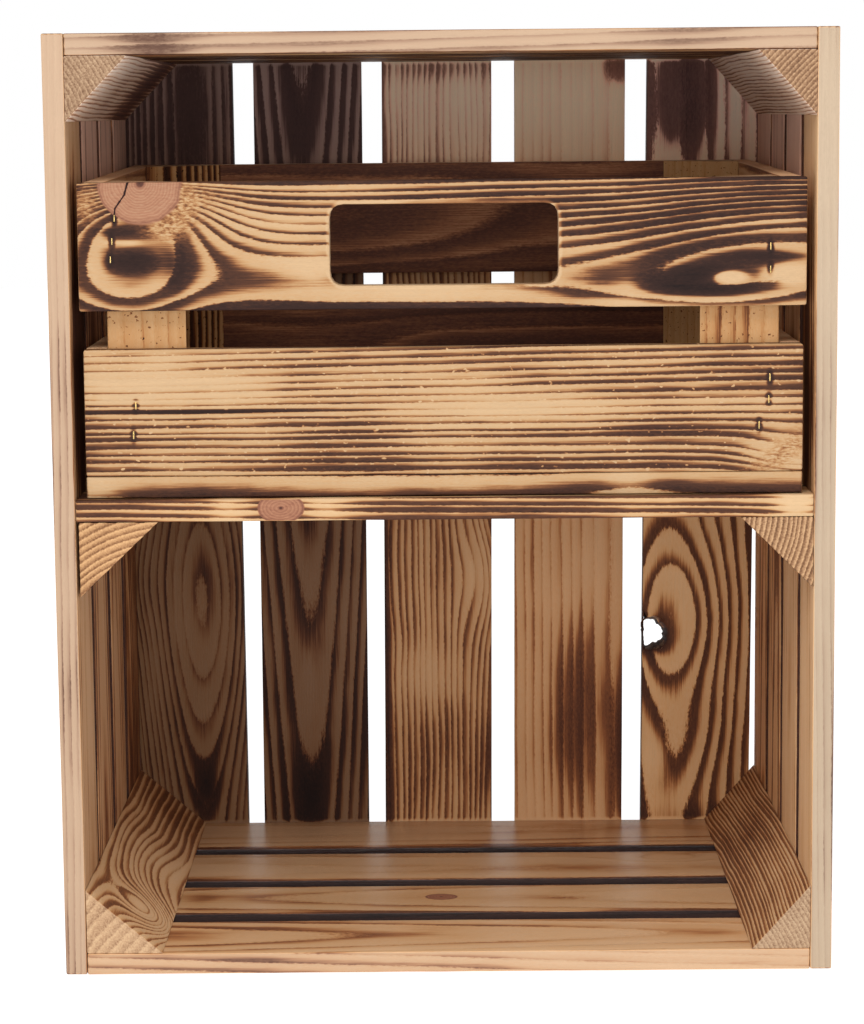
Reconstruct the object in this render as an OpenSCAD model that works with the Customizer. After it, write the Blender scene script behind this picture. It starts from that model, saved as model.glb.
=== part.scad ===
// Wooden apple crate standing on its end as a small shelf unit.
// Slatted pine panels are stapled to triangular posts that run from front to back.
// A shelf on two triangular rails halves the crate, and a loose drawer crate stands on it.
// X runs to the right, Y to the back and Z up. The origin is the middle of the base.

/* [Crate] */
// Height of the crate, which is the long side of the box it was made as
crate_h = 500; // [495:1:520]
// Width across the two side panels
crate_w = 411.5; // [404:0.5:416]
// Depth from the open front to the outside of the back slats
crate_d = 300; // [296:1:310]
// Thickness of the side boards and the end boards
board_t = 11.5; // [11:0.5:12.5]
// Height of the shelf's underside above the base
shelf_z = 245.5; // [240:0.5:246]
// Thickness of the shelf boards
shelf_t = 12; // [11:0.5:13]
// Gap between the shelf's back edge and the back slats
shelf_gap = 2; // [1:0.5:5]

/* [Back slats] */
// Thickness of a back slat
slat_t = 11; // [10:0.5:12]
// Length of the knot hole in the right-hand slat
knot_h = 20; // [18:1:24]
// Width of the knot hole
knot_w = 12; // [10:0.5:13]
// Height of the knot hole's middle above the base
knot_z = 130; // [120:1:140]

/* [Drawer] */
// Width across the drawer's side boards
drawer_w = 377; // [374:1:380]
// Width of the upper front board, which is the longest of the drawer's boards
drawer_top_front_w = 380; // [378:0.5:381]
// Depth of the drawer
drawer_d = 280; // [276:1:282]
// How far the drawer's front stands back from the front of the crate
drawer_setback = 4; // [3:0.5:6]
// Clearance between the shelf and the drawer's bottom slats
drawer_lift = 0.3; // [0.3:0.1:0.5]
// Thickness of the drawer's boards
drawer_t = 11.5; // [11:0.5:12]
// Height of each board in the drawer's walls, apart from the lower back board
drawer_board_h = 67; // [66:0.5:68]
// Height of the lower back board
drawer_low_back_h = 70.5; // [67:0.5:72]
// Open gap between the lower and the upper boards
drawer_gap = 20; // [18:0.5:22]
// How much higher the walls end at the back than at the front
drawer_rise = 4; // [3:0.5:5]
// Width of the hand hole in the front
hand_w = 119; // [110:1:124]
// Height of the hand hole
hand_h = 42; // [38:1:44]
// Corner radius of the hand hole
hand_r = 7.5; // [5:0.5:12]

/* [Staples] */
// Width of a staple across its crown
staple_w = 6; // [5:0.5:7]
// Length of a staple's legs
staple_leg = 22; // [20:0.5:22]
// Thickness of the staple wire
wire = 1.2; // [1:0.1:1.4]

/* [Hidden] */
LEFT = -1;
RIGHT = 1;
BACK = [-90, 0, 0];
FRONT = [90, 0, 0];
TOP = [0, 0, 0];
UNDER = [180, 0, 0];
front_y = -crate_d / 2;
panel_d = crate_d - slat_t;
inner_x = crate_w / 2 - board_t;
cut = 1;

// Board widths and gaps from front to back; each panel's last board fills the rest
left_w = [61, 69, 58];
left_gap = [8, 12, 12];
right_w = [58, 67, 62];
right_gap = [13, 12, 10];
end_w = [62, 57, 61];
end_gap = [15, 14, 13];
shelf_w = [66, 64, 66];
shelf_row_gap = [9, 9, 9];
drawer_slat_w = [65, 62, 64];
drawer_slat_gap = [9, 9, 9];

// Left edge of each back slat at the base and at the top, and its width
slat_low_x = [-194.5, -116.5, -39.5, 42.5, 122.5];
slat_high_x = [-196.5, -115.5, -36.5, 45, 126.5];
slat_w = [68, 66.5, 67.5, 68, 68.5];

// Triangular posts and rails: width along X and height along Z
post_bottom_left = [41, 35];
post_bottom_right = [31.5, 35];
post_top_left = [32.5, 34];
post_top_right = [30.5, 34];
rail_left = [42, 40];
rail_left_gap = 1.5;
rail_right = [38.5, 38];

// Staples: distance in from the inside of the neighbouring panel
side_inset = 12;
end_inset = 16.5;
shelf_inset = 13.5;
rail_drop = 13;
low_high = [board_t + side_inset, crate_h - board_t - side_inset];
slat_ends = [board_t / 2, crate_h - board_t / 2];
rail_staple_z = shelf_z - rail_drop;

// The drawer's levels, from its underside to the top of its walls at the front
drawer_z = shelf_z + shelf_t + drawer_lift;
lower_z = drawer_z + drawer_t;
upper_z = lower_z + drawer_board_h + drawer_gap;
rim_z = upper_z + drawer_board_h;
drawer_y = front_y + drawer_setback;
drawer_back_y = drawer_y + drawer_d;
drawer_inner_x = drawer_w / 2 - drawer_t;
drawer_post = [42, 40];
drawer_post_inset = 20;
drawer_staple_x = 171;
front_board_z = [lower_z, upper_z];
back_board_z = [lower_z, upper_z + drawer_rise];
hand_x = 1;
// Staples in the drawer's front: distance from the middle, and height above its underside
front_left_staples = [[170.5, 147], [172, 135], [173, 125.5], [161.5, 49], [163, 33.5]];
front_right_staples = [[171, 129.5], [171, 117.5], [171, 61], [170.5, 49.5], [165.5, 36]];

numbers = ["1", "2", "3", "4", "5"];

// Where row i of a panel starts, and how wide it is, in a panel of length total
function row_start(widths, gaps, i) =
    i == 0 ? 0 : row_start(widths, gaps, i - 1) + widths[i - 1] + gaps[i - 1];
function row_width(widths, gaps, total, i) =
    i < len(widths) ? widths[i] : total - row_start(widths, gaps, i);

// Two fastening places across a row, as distances from the start of the panel
function pair(start, width) = [start + 0.3 * width, start + 0.7 * width];

function side_widths(side) = side == LEFT ? left_w : right_w;
function side_gaps(side) = side == LEFT ? left_gap : right_gap;
function side_row(side, i) = row_start(side_widths(side), side_gaps(side), i);
function side_row_w(side, i) = row_width(side_widths(side), side_gaps(side), panel_d, i);
function end_row(i) = row_start(end_w, end_gap, i);
function end_row_w(i) = row_width(end_w, end_gap, panel_d, i);
function shelf_row(i) = row_start(shelf_w, shelf_row_gap, i);
function shelf_row_w(i) = row_width(shelf_w, shelf_row_gap, panel_d - shelf_gap, i);
function slat_mid_x(i, z) =
    slat_low_x[i] + (slat_high_x[i] - slat_low_x[i]) * z / crate_h + slat_w[i] / 2;
function slat_row(i) = row_start(drawer_slat_w, drawer_slat_gap, i);
function slat_row_w(i) = row_width(drawer_slat_w, drawer_slat_gap, drawer_d, i);

// A staple driven down into the face z = 0, with its crown flush and along X
module staple(above = 0) {
    half = staple_w / 2;
    rotate([90, 0, 0])
        linear_extrude(height = wire, center = true)
            polygon([
                [-half, above], [half, above], [half, -staple_leg],
                [half - wire, -staple_leg], [half - wire, -wire],
                [-half + wire, -wire], [-half + wire, -staple_leg], [-half, -staple_leg]
            ]);
}

// A staple at p, driven into the face that the rotation `face` turns the plane z = 0 to
module staple_in(p, face, turn, above)
    translate(p) rotate(face) rotate([0, 0, turn]) staple(above);

// Side boards to corner posts
module side_staples(side, rows, heights, above = 0)
    for (i = rows, z = heights, y = pair(side_row(side, i), side_row_w(side, i)))
        staple_in([side * crate_w / 2, front_y + y, z], [0, side * 90, 0], 90, above);

// End boards to corner posts
module end_staples(top, rows, sides, above = 0)
    for (i = rows, side = sides, y = pair(end_row(i), end_row_w(i)))
        staple_in([side * (inner_x - end_inset), front_y + y, top ? crate_h : 0],
            top ? TOP : UNDER, 90, above);

// Back slats to the edges of the rearmost end boards
module slat_staples(slats, heights, above = 0)
    for (i = slats, z = heights, x = pair(slat_mid_x(i, z) - slat_w[i] / 2, slat_w[i]))
        staple_in([x, crate_d / 2, z], BACK, 0, above);

// Shelf boards to the rails, and side boards to the rails
module shelf_staples(rows, sides, above = 0)
    for (i = rows, side = sides, y = pair(shelf_row(i), shelf_row_w(i)))
        staple_in([side * (inner_x - shelf_inset), front_y + y, shelf_z + shelf_t],
            TOP, 90, above);
module rail_staples(side, rows, above = 0) side_staples(side, rows, [rail_staple_z], above);

// Drawer boards to the drawer's posts, and its bottom slats to its side boards
module drawer_front_staples(above = 0) {
    for (p = front_left_staples)
        staple_in([-p[0], drawer_y, drawer_z + p[1]], FRONT, 90, above);
    for (p = front_right_staples)
        staple_in([p[0], drawer_y, drawer_z + p[1]], FRONT, 90, above);
}
module drawer_back_staples(above = 0)
    for (side = [LEFT, RIGHT], z0 = back_board_z, z = pair(z0, drawer_board_h))
        staple_in([side * drawer_staple_x, drawer_back_y, z], BACK, 90, above);
module drawer_side_staples(sides, above = 0)
    for (side = sides, z0 = front_board_z, z = pair(z0, drawer_board_h)) {
        x = side * drawer_w / 2;
        inset = drawer_t + drawer_post_inset;
        staple_in([x, drawer_y + inset, z], [0, side * 90, 0], 0, above);
        staple_in([x, drawer_back_y - inset, z], [0, side * 90, 0], 0, above);
    }
module drawer_bottom_staples(rows, sides, above = 0)
    for (i = rows, side = sides, y = pair(slat_row(i), slat_row_w(i)))
        staple_in([side * (drawer_w - drawer_t) / 2, drawer_y + y, drawer_z],
            UNDER, 90, above);

// One board of a side panel, running the full height of the crate
module side_board(side, i) color("burlywood") difference() {
    translate([side * (inner_x + board_t / 2) - board_t / 2, front_y + side_row(side, i), 0])
        cube([board_t, side_row_w(side, i), crate_h]);
    side_staples(side, [i], low_high, cut);
    rail_staples(side, [i], cut);
}

// One board of the base or the top, which fits between the side panels
module end_board(top, i) color("tan") difference() {
    translate([-inner_x, front_y + end_row(i), top ? crate_h - board_t : 0])
        cube([2 * inner_x, end_row_w(i), board_t]);
    end_staples(top, [i], [LEFT, RIGHT], cut);
    if (i == len(end_w)) slat_staples([0:4], slat_ends);
}

// A triangular prism from front to back, with its square corner at [x, z]
module corner_prism(x, z, across, up)
    translate([0, front_y + panel_d, 0])
        rotate([90, 0, 0])
            linear_extrude(height = panel_d)
                polygon([[x, z], [x + across, z], [x, z + up]]);

module corner_post(side, top, legs) color("peru") difference() {
    corner_prism(side * inner_x, top ? crate_h - board_t : board_t,
        -side * legs[0], top ? -legs[1] : legs[1]);
    side_staples(side, [0:3], [low_high[top ? 1 : 0]]);
    end_staples(top, [0:3], [side]);
}

// A back slat, slightly out of plumb as it was nailed
module slat_blank(i)
    translate([0, crate_d / 2, 0])
        rotate([90, 0, 0])
            linear_extrude(height = slat_t)
                polygon([
                    [slat_low_x[i], 0], [slat_low_x[i] + slat_w[i], 0],
                    [slat_high_x[i] + slat_w[i], crate_h], [slat_high_x[i], crate_h]
                ]);

// The hole that a loose knot left beside the right-hand slat's inner edge
module knot_hole() {
    r = knot_w / 2;
    rise = (knot_h - knot_w) / 2;
    x = slat_mid_x(4, knot_z) - slat_w[4] / 2 + r + 1;
    translate([x, crate_d / 2 + cut, knot_z])
        rotate([90, 0, 0])
            linear_extrude(height = slat_t + 2 * cut) {
                translate([0, -rise]) circle(r, $fn = 48);
                translate([0, rise]) circle(r, $fn = 48);
                square([2 * r, 2 * rise], center = true);
            }
}

module back_slat(i) color("sienna") difference() {
    slat_blank(i);
    slat_staples([i], slat_ends, cut);
    if (i == 4) knot_hole();
}

module shelf_board(i) color("tan") difference() {
    translate([-inner_x, front_y + shelf_row(i), shelf_z])
        cube([2 * inner_x, shelf_row_w(i), shelf_t]);
    shelf_staples([i], [LEFT, RIGHT], cut);
}

module shelf_rail(side, legs, gap) color("peru") difference() {
    corner_prism(side * (inner_x - gap), shelf_z, -side * legs[0], -legs[1]);
    rail_staples(side, [0:3]);
    shelf_staples([0:3], [side]);
}

// A rectangle with rounded corners, centred on the origin
module rounded_slot(w, h, r)
    union() {
        square([w - 2 * r, h], center = true);
        square([w, h - 2 * r], center = true);
        for (x = [-1, 1], y = [-1, 1])
            translate([x * (w / 2 - r), y * (h / 2 - r)]) circle(r, $fn = 48);
    }

module hand_hole()
    translate([hand_x, drawer_y - cut, upper_z + drawer_board_h / 2])
        rotate([90, 0, 0])
            mirror([0, 0, 1])
                linear_extrude(height = drawer_t + 2 * cut)
                    rounded_slot(hand_w, hand_h, hand_r);

module drawer_front(z, width, with_hole) color("wheat") difference() {
    translate([-width / 2, drawer_y, z]) cube([width, drawer_t, drawer_board_h]);
    drawer_front_staples(cut);
    if (with_hole) hand_hole();
}

module drawer_back(z, height) color("burlywood") difference() {
    translate([-drawer_w / 2, drawer_back_y - drawer_t, z])
        cube([drawer_w, drawer_t, height]);
    drawer_back_staples(cut);
}

// A side board of the drawer, whose back end stands `rise` higher than its front end
module drawer_side(side, z, rise) color("burlywood") difference() {
    y0 = drawer_y + drawer_t;
    y1 = drawer_back_y - drawer_t;
    translate([side * (drawer_inner_x + drawer_t / 2) - drawer_t / 2, 0, 0])
        rotate([90, 0, 90])
            linear_extrude(height = drawer_t)
                polygon([
                    [y0, z], [y1, z + rise],
                    [y1, z + rise + drawer_board_h], [y0, z + drawer_board_h]
                ]);
    drawer_side_staples([side], cut);
    drawer_bottom_staples([0:3], [side]);
}

// A triangular post in a corner of the drawer; at the back it follows the higher wall
module drawer_corner(side, back) color("peru") difference() {
    x = side * drawer_inner_x;
    y = back ? drawer_back_y - drawer_t : drawer_y + drawer_t;
    height = rim_z + (back ? drawer_rise : 0) - lower_z;
    translate([0, 0, lower_z])
        linear_extrude(height = height)
            polygon([
                [x, y], [x - side * drawer_post[0], y],
                [x, y + (back ? -1 : 1) * drawer_post[1]]
            ]);
    drawer_side_staples([side]);
    if (back) drawer_back_staples();
    else drawer_front_staples();
}

module drawer_bottom_slat(i) color("tan") difference() {
    translate([-drawer_w / 2, drawer_y + slat_row(i), drawer_z])
        cube([drawer_w, slat_row_w(i), drawer_t]);
    drawer_bottom_staples([i], [LEFT, RIGHT], cut);
}

for (i = [0:3]) {
    side_board(LEFT, i);
    side_board(RIGHT, i);
    end_board(false, i);
    end_board(true, i);
    shelf_board(i);
    drawer_bottom_slat(i);
}
for (i = [0:4])
    back_slat(i);

corner_post(LEFT, false, post_bottom_left);  // corner_post_bottom_left
corner_post(RIGHT, false, post_bottom_right);  // corner_post_bottom_right
corner_post(LEFT, true, post_top_left);  // corner_post_top_left
corner_post(RIGHT, true, post_top_right);  // corner_post_top_right
shelf_rail(LEFT, rail_left, rail_left_gap);  // shelf_rail_left
shelf_rail(RIGHT, rail_right, 0);  // shelf_rail_right

drawer_front(lower_z, drawer_w, false);  // drawer_front_lower
drawer_front(upper_z, drawer_top_front_w, true);  // drawer_front_upper
drawer_back(back_board_z[0], drawer_low_back_h);  // drawer_back_lower
drawer_back(back_board_z[1], drawer_board_h);  // drawer_back_upper
drawer_side(LEFT, lower_z, 0);  // drawer_left_lower
drawer_side(LEFT, upper_z, drawer_rise);  // drawer_left_upper
drawer_side(RIGHT, lower_z, 0);  // drawer_right_lower
drawer_side(RIGHT, upper_z, drawer_rise);  // drawer_right_upper
drawer_corner(LEFT, false);  // drawer_post_front_left
drawer_corner(RIGHT, false);  // drawer_post_front_right
drawer_corner(LEFT, true);  // drawer_post_back_left
drawer_corner(RIGHT, true);  // drawer_post_back_right

color("silver") for (side = [LEFT, RIGHT]) side_staples(side, [0:3], low_high);  // staples_side_panels
color("silver") for (top = [false, true]) end_staples(top, [0:3], [LEFT, RIGHT]);  // staples_end_panels
color("silver") slat_staples([0:4], slat_ends);  // staples_back_slats
color("silver") shelf_staples([0:3], [LEFT, RIGHT]);  // staples_shelf
color("silver") for (side = [LEFT, RIGHT]) rail_staples(side, [0:3]);  // staples_rails
color("gold") drawer_front_staples();  // staples_drawer_front
color("silver") drawer_back_staples();  // staples_drawer_back
color("silver") drawer_side_staples([LEFT, RIGHT]);  // staples_drawer_sides
color("silver") drawer_bottom_staples([0:3], [LEFT, RIGHT]);  // staples_drawer_bottom
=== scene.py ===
"""Looks of the upright apple crate: flamed pine boards, posts, slats and wire staples.

Every piece stands in the place of its CAD node, so all positions come from the frame.
Lengths are millimetres, except in the frame's bounds, the lights and names that end in _M.
A board has its own directions: u along the grain, v across it, w through its thickness.
"""
import math
from dataclasses import dataclass, replace

import bmesh
import bpy
from mathutils import Matrix, Vector, noise
from mathutils.geometry import delaunay_2d_cdt


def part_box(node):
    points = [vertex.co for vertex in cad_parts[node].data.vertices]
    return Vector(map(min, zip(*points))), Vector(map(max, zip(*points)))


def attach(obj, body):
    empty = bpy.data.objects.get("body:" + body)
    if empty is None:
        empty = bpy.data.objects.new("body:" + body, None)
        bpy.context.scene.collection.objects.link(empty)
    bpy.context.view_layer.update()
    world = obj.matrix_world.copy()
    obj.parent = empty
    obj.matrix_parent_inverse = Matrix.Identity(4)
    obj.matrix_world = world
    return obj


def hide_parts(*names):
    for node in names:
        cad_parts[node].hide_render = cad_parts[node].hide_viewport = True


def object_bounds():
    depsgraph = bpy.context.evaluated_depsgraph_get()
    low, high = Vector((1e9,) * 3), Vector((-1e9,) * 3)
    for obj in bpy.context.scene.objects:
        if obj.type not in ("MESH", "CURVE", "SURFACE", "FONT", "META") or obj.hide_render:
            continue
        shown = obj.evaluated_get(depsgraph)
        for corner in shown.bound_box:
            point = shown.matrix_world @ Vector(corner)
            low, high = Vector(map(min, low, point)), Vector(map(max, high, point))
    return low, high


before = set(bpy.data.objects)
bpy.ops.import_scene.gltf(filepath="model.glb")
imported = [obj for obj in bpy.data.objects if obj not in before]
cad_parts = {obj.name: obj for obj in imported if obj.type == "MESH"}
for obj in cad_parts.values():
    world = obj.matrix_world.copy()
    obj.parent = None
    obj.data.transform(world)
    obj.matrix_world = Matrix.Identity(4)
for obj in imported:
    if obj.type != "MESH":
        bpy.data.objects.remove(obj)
cad_low, cad_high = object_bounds()

MM = 0.001
AXES = {"x": 0, "y": 1, "z": 2}

# The sides, and which way along x each one is
SIDES = (("left", -1), ("right", 1))

# Edges of a board sharper than this are shaded as edges
CRISP_ANGLE = math.radians(40)


# ---------------- outlines and prisms

def rounded_polygon(corners, radii, step):
    """Points around a convex polygon, with corners rounded by one radius or by one each."""
    if not isinstance(radii, (list, tuple)):
        radii = [radii] * len(corners)
    points = []
    for i, corner in enumerate(corners):
        before = Vector(corners[i - 1])
        here = Vector(corner)
        after = Vector(corners[(i + 1) % len(corners)])
        radius = radii[i]
        next_radius = radii[(i + 1) % len(corners)]
        start = here + (before - here).normalized() * radius
        end = here + (after - here).normalized() * radius
        for t in (0, 0.25, 0.5, 0.75, 1):
            points.append(start * (1 - t) ** 2 + here * 2 * t * (1 - t) + end * t * t)
        straight_end = after + (here - after).normalized() * next_radius
        count = max(1, round((straight_end - end).length / step))
        points += [end.lerp(straight_end, k / count) for k in range(1, count)]
    return points


def rounded_slot(width, height, radius, middle, step):
    """Points around a rounded rectangular hole, clockwise."""
    x, y = width / 2, height / 2
    mx, my = middle
    corners = [(mx - x, my - y), (mx + x, my - y), (mx + x, my + y), (mx - x, my + y)]
    return rounded_polygon(corners, radius, step)[::-1]


def inward(loop, i):
    """The unit direction from point i of a loop towards the material, on its left."""
    tangent = (loop[(i + 1) % len(loop)] - loop[i - 1]).normalized()
    return Vector((-tangent.y, tangent.x))


def contains(loop, point):
    """Whether a loop runs around a point."""
    inside = False
    for i, a in enumerate(loop):
        b = loop[i - 1]
        if (a.y > point.y) != (b.y > point.y):
            if point.x < (b.x - a.x) * (point.y - a.y) / (b.y - a.y) + a.x:
                inside = not inside
    return inside


def wobble(point, scale, seed):
    """Smooth noise between about -1 and 1 at a point, with features of the given size."""
    return noise.noise(Vector(point) / scale + Vector((seed * 7.3, seed * 3.1, seed * 5.7)))


@dataclass
class Wear:
    """How a piece's edges and faces depart from a sharp, flat board.

    edge is the radius of its edges, ragged how much that varies, saw how uneven its outline is,
    warp how uneven its faces are, and step the distance between its points.
    """
    edge: float = 0.8
    ragged: float = 0.5
    saw: float = 0.15
    warp: float = 0.25
    step: float = 9.0


# A worn edge's section, across the face and down the side, as shares of the edge's radius
EDGE_SECTION = ((1, 0), (0.42, 0.13), (0.13, 0.42), (0, 1))

# The least radius of an edge, and the most it has by its distance from a thin tip
LEAST_EDGE = 0.15
EDGE_BY_TIP = 0.22

# Sizes of the patterns of edge wear, chips, an outline's unevenness and a face's warp
WEAR_SIZE, CHIP_SIZE, SAW_SIZE, WARP_SIZE = 6, 23, 30, 90


def edge_rings(loop, depth, wear, seed, tips=(), flare=None):
    """Rings from one face of a prism to the other: lists of (point, depth) along a loop.

    Wear fades towards tips, the corners too thin to lose any wood. flare widens a hole at the
    first face by one length per point.
    """
    sizes = []
    shifted = []
    flare = flare or [0.0] * len(loop)
    for i, p in enumerate(loop):
        room = min([EDGE_BY_TIP * (p - tip).length for tip in tips] + [10.0])
        worn = wear.edge * (1 + wear.ragged * wobble((p.x, p.y, 0), WEAR_SIZE, seed))
        chip = wobble((p.x, p.y, 40), CHIP_SIZE, seed)
        worn *= 1 + 1.5 * wear.ragged * max(0, chip - 0.25)
        sizes.append(min(max(LEAST_EDGE, worn), room))
        cut_in = wear.saw * (0.5 + 0.5 * wobble((p.x, p.y, 9), SAW_SIZE, seed))
        shifted.append(p + inward(loop, i) * min(cut_in, room * 0.5))
    rings = []

    def add_ring(across, downs):
        ring = []
        for i, (p, s, down) in enumerate(zip(shifted, sizes, downs)):
            wider = flare[i] * (1 - down / depth) ** 1.6
            ring.append((p + inward(loop, i) * (s * across + wider), down))
        rings.append(ring)

    for across, down in EDGE_SECTION:
        add_ring(across, [s * down for s in sizes])
    walls = max(1, round(depth / wear.step)) if depth > 20 else 3
    top = max(sizes)
    for k in range(1, walls):
        add_ring(0, [top + (depth - 2 * top) * k / walls] * len(loop))
    for across, down in reversed(EDGE_SECTION):
        add_ring(across, [depth - s * down for s in sizes])
    return rings


def inner_points(outline, holes, step, margin):
    """A slightly staggered grid of points inside an outline and outside its holes."""
    low_x = min(p.x for p in outline)
    high_x = max(p.x for p in outline)
    low_y = min(p.y for p in outline)
    high_y = max(p.y for p in outline)
    columns = max(2, round((high_x - low_x) / step))
    rows = max(2, round((high_y - low_y) / step))
    loops = [outline] + holes
    found = []
    for i in range(1, columns):
        for j in range(1, rows):
            stagger = 0.25 if j % 2 else -0.25
            p = Vector((
                low_x + (high_x - low_x) * (i + stagger) / columns,
                low_y + (high_y - low_y) * j / rows,
            ))
            if not contains(outline, p) or any(contains(h, p) for h in holes):
                continue
            if all((q - p).length > margin for loop in loops for q in loop):
                found.append(p)
    return found


def cap_triangles(loops, points):
    """Triangles of a face: loops are its borders, the first around it and the rest holes."""
    flat = []
    edges = []
    for loop in loops:
        first = len(flat)
        flat += loop
        edges += [(first + i, first + (i + 1) % len(loop)) for i in range(len(loop))]
    flat += points
    made, _, faces, origins, _, _ = delaunay_2d_cdt(flat, edges, [], 0, 1e-6)
    index = [o[0] if o else None for o in origins]
    kept = []
    for face in faces:
        if any(index[v] is None for v in face):
            continue
        middle = sum((Vector(made[v]) for v in face), Vector((0, 0))) / len(face)
        if contains(loops[0], middle) and not any(contains(h, middle) for h in loops[1:]):
            kept.append([index[v] for v in face])
    return kept


def prism(name, outline, holes, depth, place, wear, seed, tips=(), flares=()):
    """A closed prism between two faces, with worn edges. place turns (a, b, depth) into metres."""
    build = bmesh.new()
    flares = [None] + (list(flares) or [None] * len(holes))
    loop_rings = [
        edge_rings(loop, depth, wear, seed, tips, flare)
        for loop, flare in zip([outline] + holes, flares)
    ]

    def settled(point, down):
        near = max(0, 1 - 2 * down / depth)
        far = max(0, 2 * down / depth - 1)
        front = 0.5 + 0.5 * wobble((point.x, point.y, 0), WARP_SIZE, seed + 11)
        back = 0.5 + 0.5 * wobble((point.x, point.y, 0), WARP_SIZE, seed + 29)
        return down + wear.warp * (near * front - far * back)

    def vertex(point, down):
        return build.verts.new(place(point.x, point.y, settled(point, down)))

    ring_vertices = [
        [[vertex(p, d) for p, d in ring] for ring in rings] for rings in loop_rings
    ]
    for rings in ring_vertices:
        for upper, lower in zip(rings, rings[1:]):
            for i in range(len(upper)):
                j = (i + 1) % len(upper)
                build.faces.new((upper[i], upper[j], lower[j], lower[i]))
    mouths = [[p for p, _ in rings[0]] for rings in loop_rings[1:]]
    extra = inner_points(outline, mouths, wear.step, wear.step * 0.55)
    for end, down in ((0, 0), (-1, depth)):
        borders = [[p for p, _ in rings[end]] for rings in loop_rings]
        corners = [v for rings in ring_vertices for v in rings[end]]
        corners += [vertex(p, down) for p in extra]
        for face in cap_triangles(borders, extra):
            build.faces.new([corners[i] for i in face])
    return finished_object(name, build, CRISP_ANGLE)


def finished_object(name, build, crisp_angle=math.pi):
    """A smooth-shaded object from a mesh under construction, crisp at edges sharper than an angle."""
    bmesh.ops.recalc_face_normals(build, faces=build.faces)
    for face in build.faces:
        face.smooth = True
    for edge in build.edges:
        if len(edge.link_faces) == 2 and edge.calc_face_angle() > crisp_angle:
            edge.smooth = False
    mesh = bpy.data.meshes.new(name)
    build.to_mesh(mesh)
    build.free()
    made = bpy.data.objects.new(name, mesh)
    bpy.context.scene.collection.objects.link(made)
    return made


# ---------------- shader arithmetic

def operation(name):
    """A method that puts a value through a math node, alone or with another value or number."""
    def method(self, *others):
        return self.math(name, *others)
    return method


class Value:
    """A number inside a shader, so that a pattern reads as a formula."""

    def __init__(self, tree, socket):
        self.tree = tree
        self.socket = socket

    def math(self, name, *others):
        node = self.tree.nodes.new("ShaderNodeMath")
        node.operation = name
        for socket, item in zip(node.inputs, (self,) + others):
            feed(socket, item)
        return Value(self.tree, node.outputs[0])

    __add__ = operation("ADD")
    __sub__ = operation("SUBTRACT")
    __mul__ = operation("MULTIPLY")
    __truediv__ = operation("DIVIDE")
    at_least = operation("MAXIMUM")
    at_most = operation("MINIMUM")
    root = operation("SQRT")
    size = operation("ABSOLUTE")
    fraction = operation("FRACT")
    exponential = operation("EXPONENT")

    def less_from(self, number):
        """number minus this value"""
        return self * -1.0 + number

    def step(self, low, high):
        """Rises smoothly from 0 at low to 1 at high, or falls if high is below low."""
        node = self.tree.nodes.new("ShaderNodeMapRange")
        node.interpolation_type = "SMOOTHSTEP"
        feed(node.inputs["Value"], self)
        node.inputs["From Min"].default_value = min(low, high)
        node.inputs["From Max"].default_value = max(low, high)
        node.inputs["To Min"].default_value = 0.0 if low < high else 1.0
        node.inputs["To Max"].default_value = 1.0 if low < high else 0.0
        return Value(self.tree, node.outputs["Result"])


def feed(socket, item):
    """Links a value to a socket, or sets the socket to a plain number."""
    if isinstance(item, Value):
        item.tree.links.new(item.socket, socket)
    else:
        socket.default_value = item


def parts(source):
    """The three numbers of a vector or colour."""
    node = source.tree.nodes.new("ShaderNodeSeparateXYZ")
    feed(node.inputs[0], source)
    return [Value(source.tree, out) for out in node.outputs]


def cloud(position, seed, detail=2.0, rough=0.5):
    """Noise about 0 at x, y and z, as (plain value, three-way value). x is never a plain number."""
    tree = position[0].tree
    joined = tree.nodes.new("ShaderNodeCombineXYZ")
    for socket, item in zip(joined.inputs, position):
        feed(socket, item)
    node = tree.nodes.new("ShaderNodeTexNoise")
    node.noise_dimensions = "4D"
    feed(node.inputs["Vector"], Value(tree, joined.outputs[0]))
    node.inputs["W"].default_value = seed * 1.37
    node.inputs["Scale"].default_value = 1.0
    node.inputs["Detail"].default_value = detail
    node.inputs["Roughness"].default_value = rough
    return Value(tree, node.outputs[0]) - 0.5, Value(tree, node.outputs[1])


def srgb(red, green, blue):
    """A linear colour from 0-255 display values."""
    def linear(c):
        c /= 255
        return c / 12.92 if c <= 0.04045 else ((c + 0.055) / 1.055) ** 2.4
    return (linear(red), linear(green), linear(blue), 1.0)


# ---------------- how the wood grew and burnt

@dataclass
class Spot:
    """An elliptical area of a board's face, and how strongly something acts there."""
    u: float
    v: float
    ru: float
    rv: float
    amount: float
    turn: float = 0.0
    crisp: bool = False

    def weight(self, u, v):
        """1 in the middle, falling to 0 outside the radii."""
        du = u - self.u
        dv = v - self.v
        if self.turn:
            c = math.cos(math.radians(self.turn))
            s = math.sin(math.radians(self.turn))
            du, dv = du * c + dv * s, dv * c - du * s
        along = du / self.ru
        aside = dv / self.rv
        square = along * along + aside * aside
        if self.crisp:
            square = square * square
        return (square * -1.0).exponential() * self.amount


def acting(spots, u, v):
    """The sum of what some spots do at a point, or None if there are no spots."""
    total = None
    for spot in spots:
        here = spot.weight(u, v)
        total = here if total is None else total + here
    return total


@dataclass
class Knot:
    """A sawn-through knot: its middle, radius, stretch along the grain and ring spacing.

    With edge set it shows on the edge at low v, and its v is measured along w.
    """
    u: float
    v: float
    radius: float
    stretch: float = 1.0
    rings: float = 1.5
    warmth: float = 0.32
    edge: bool = False


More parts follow.
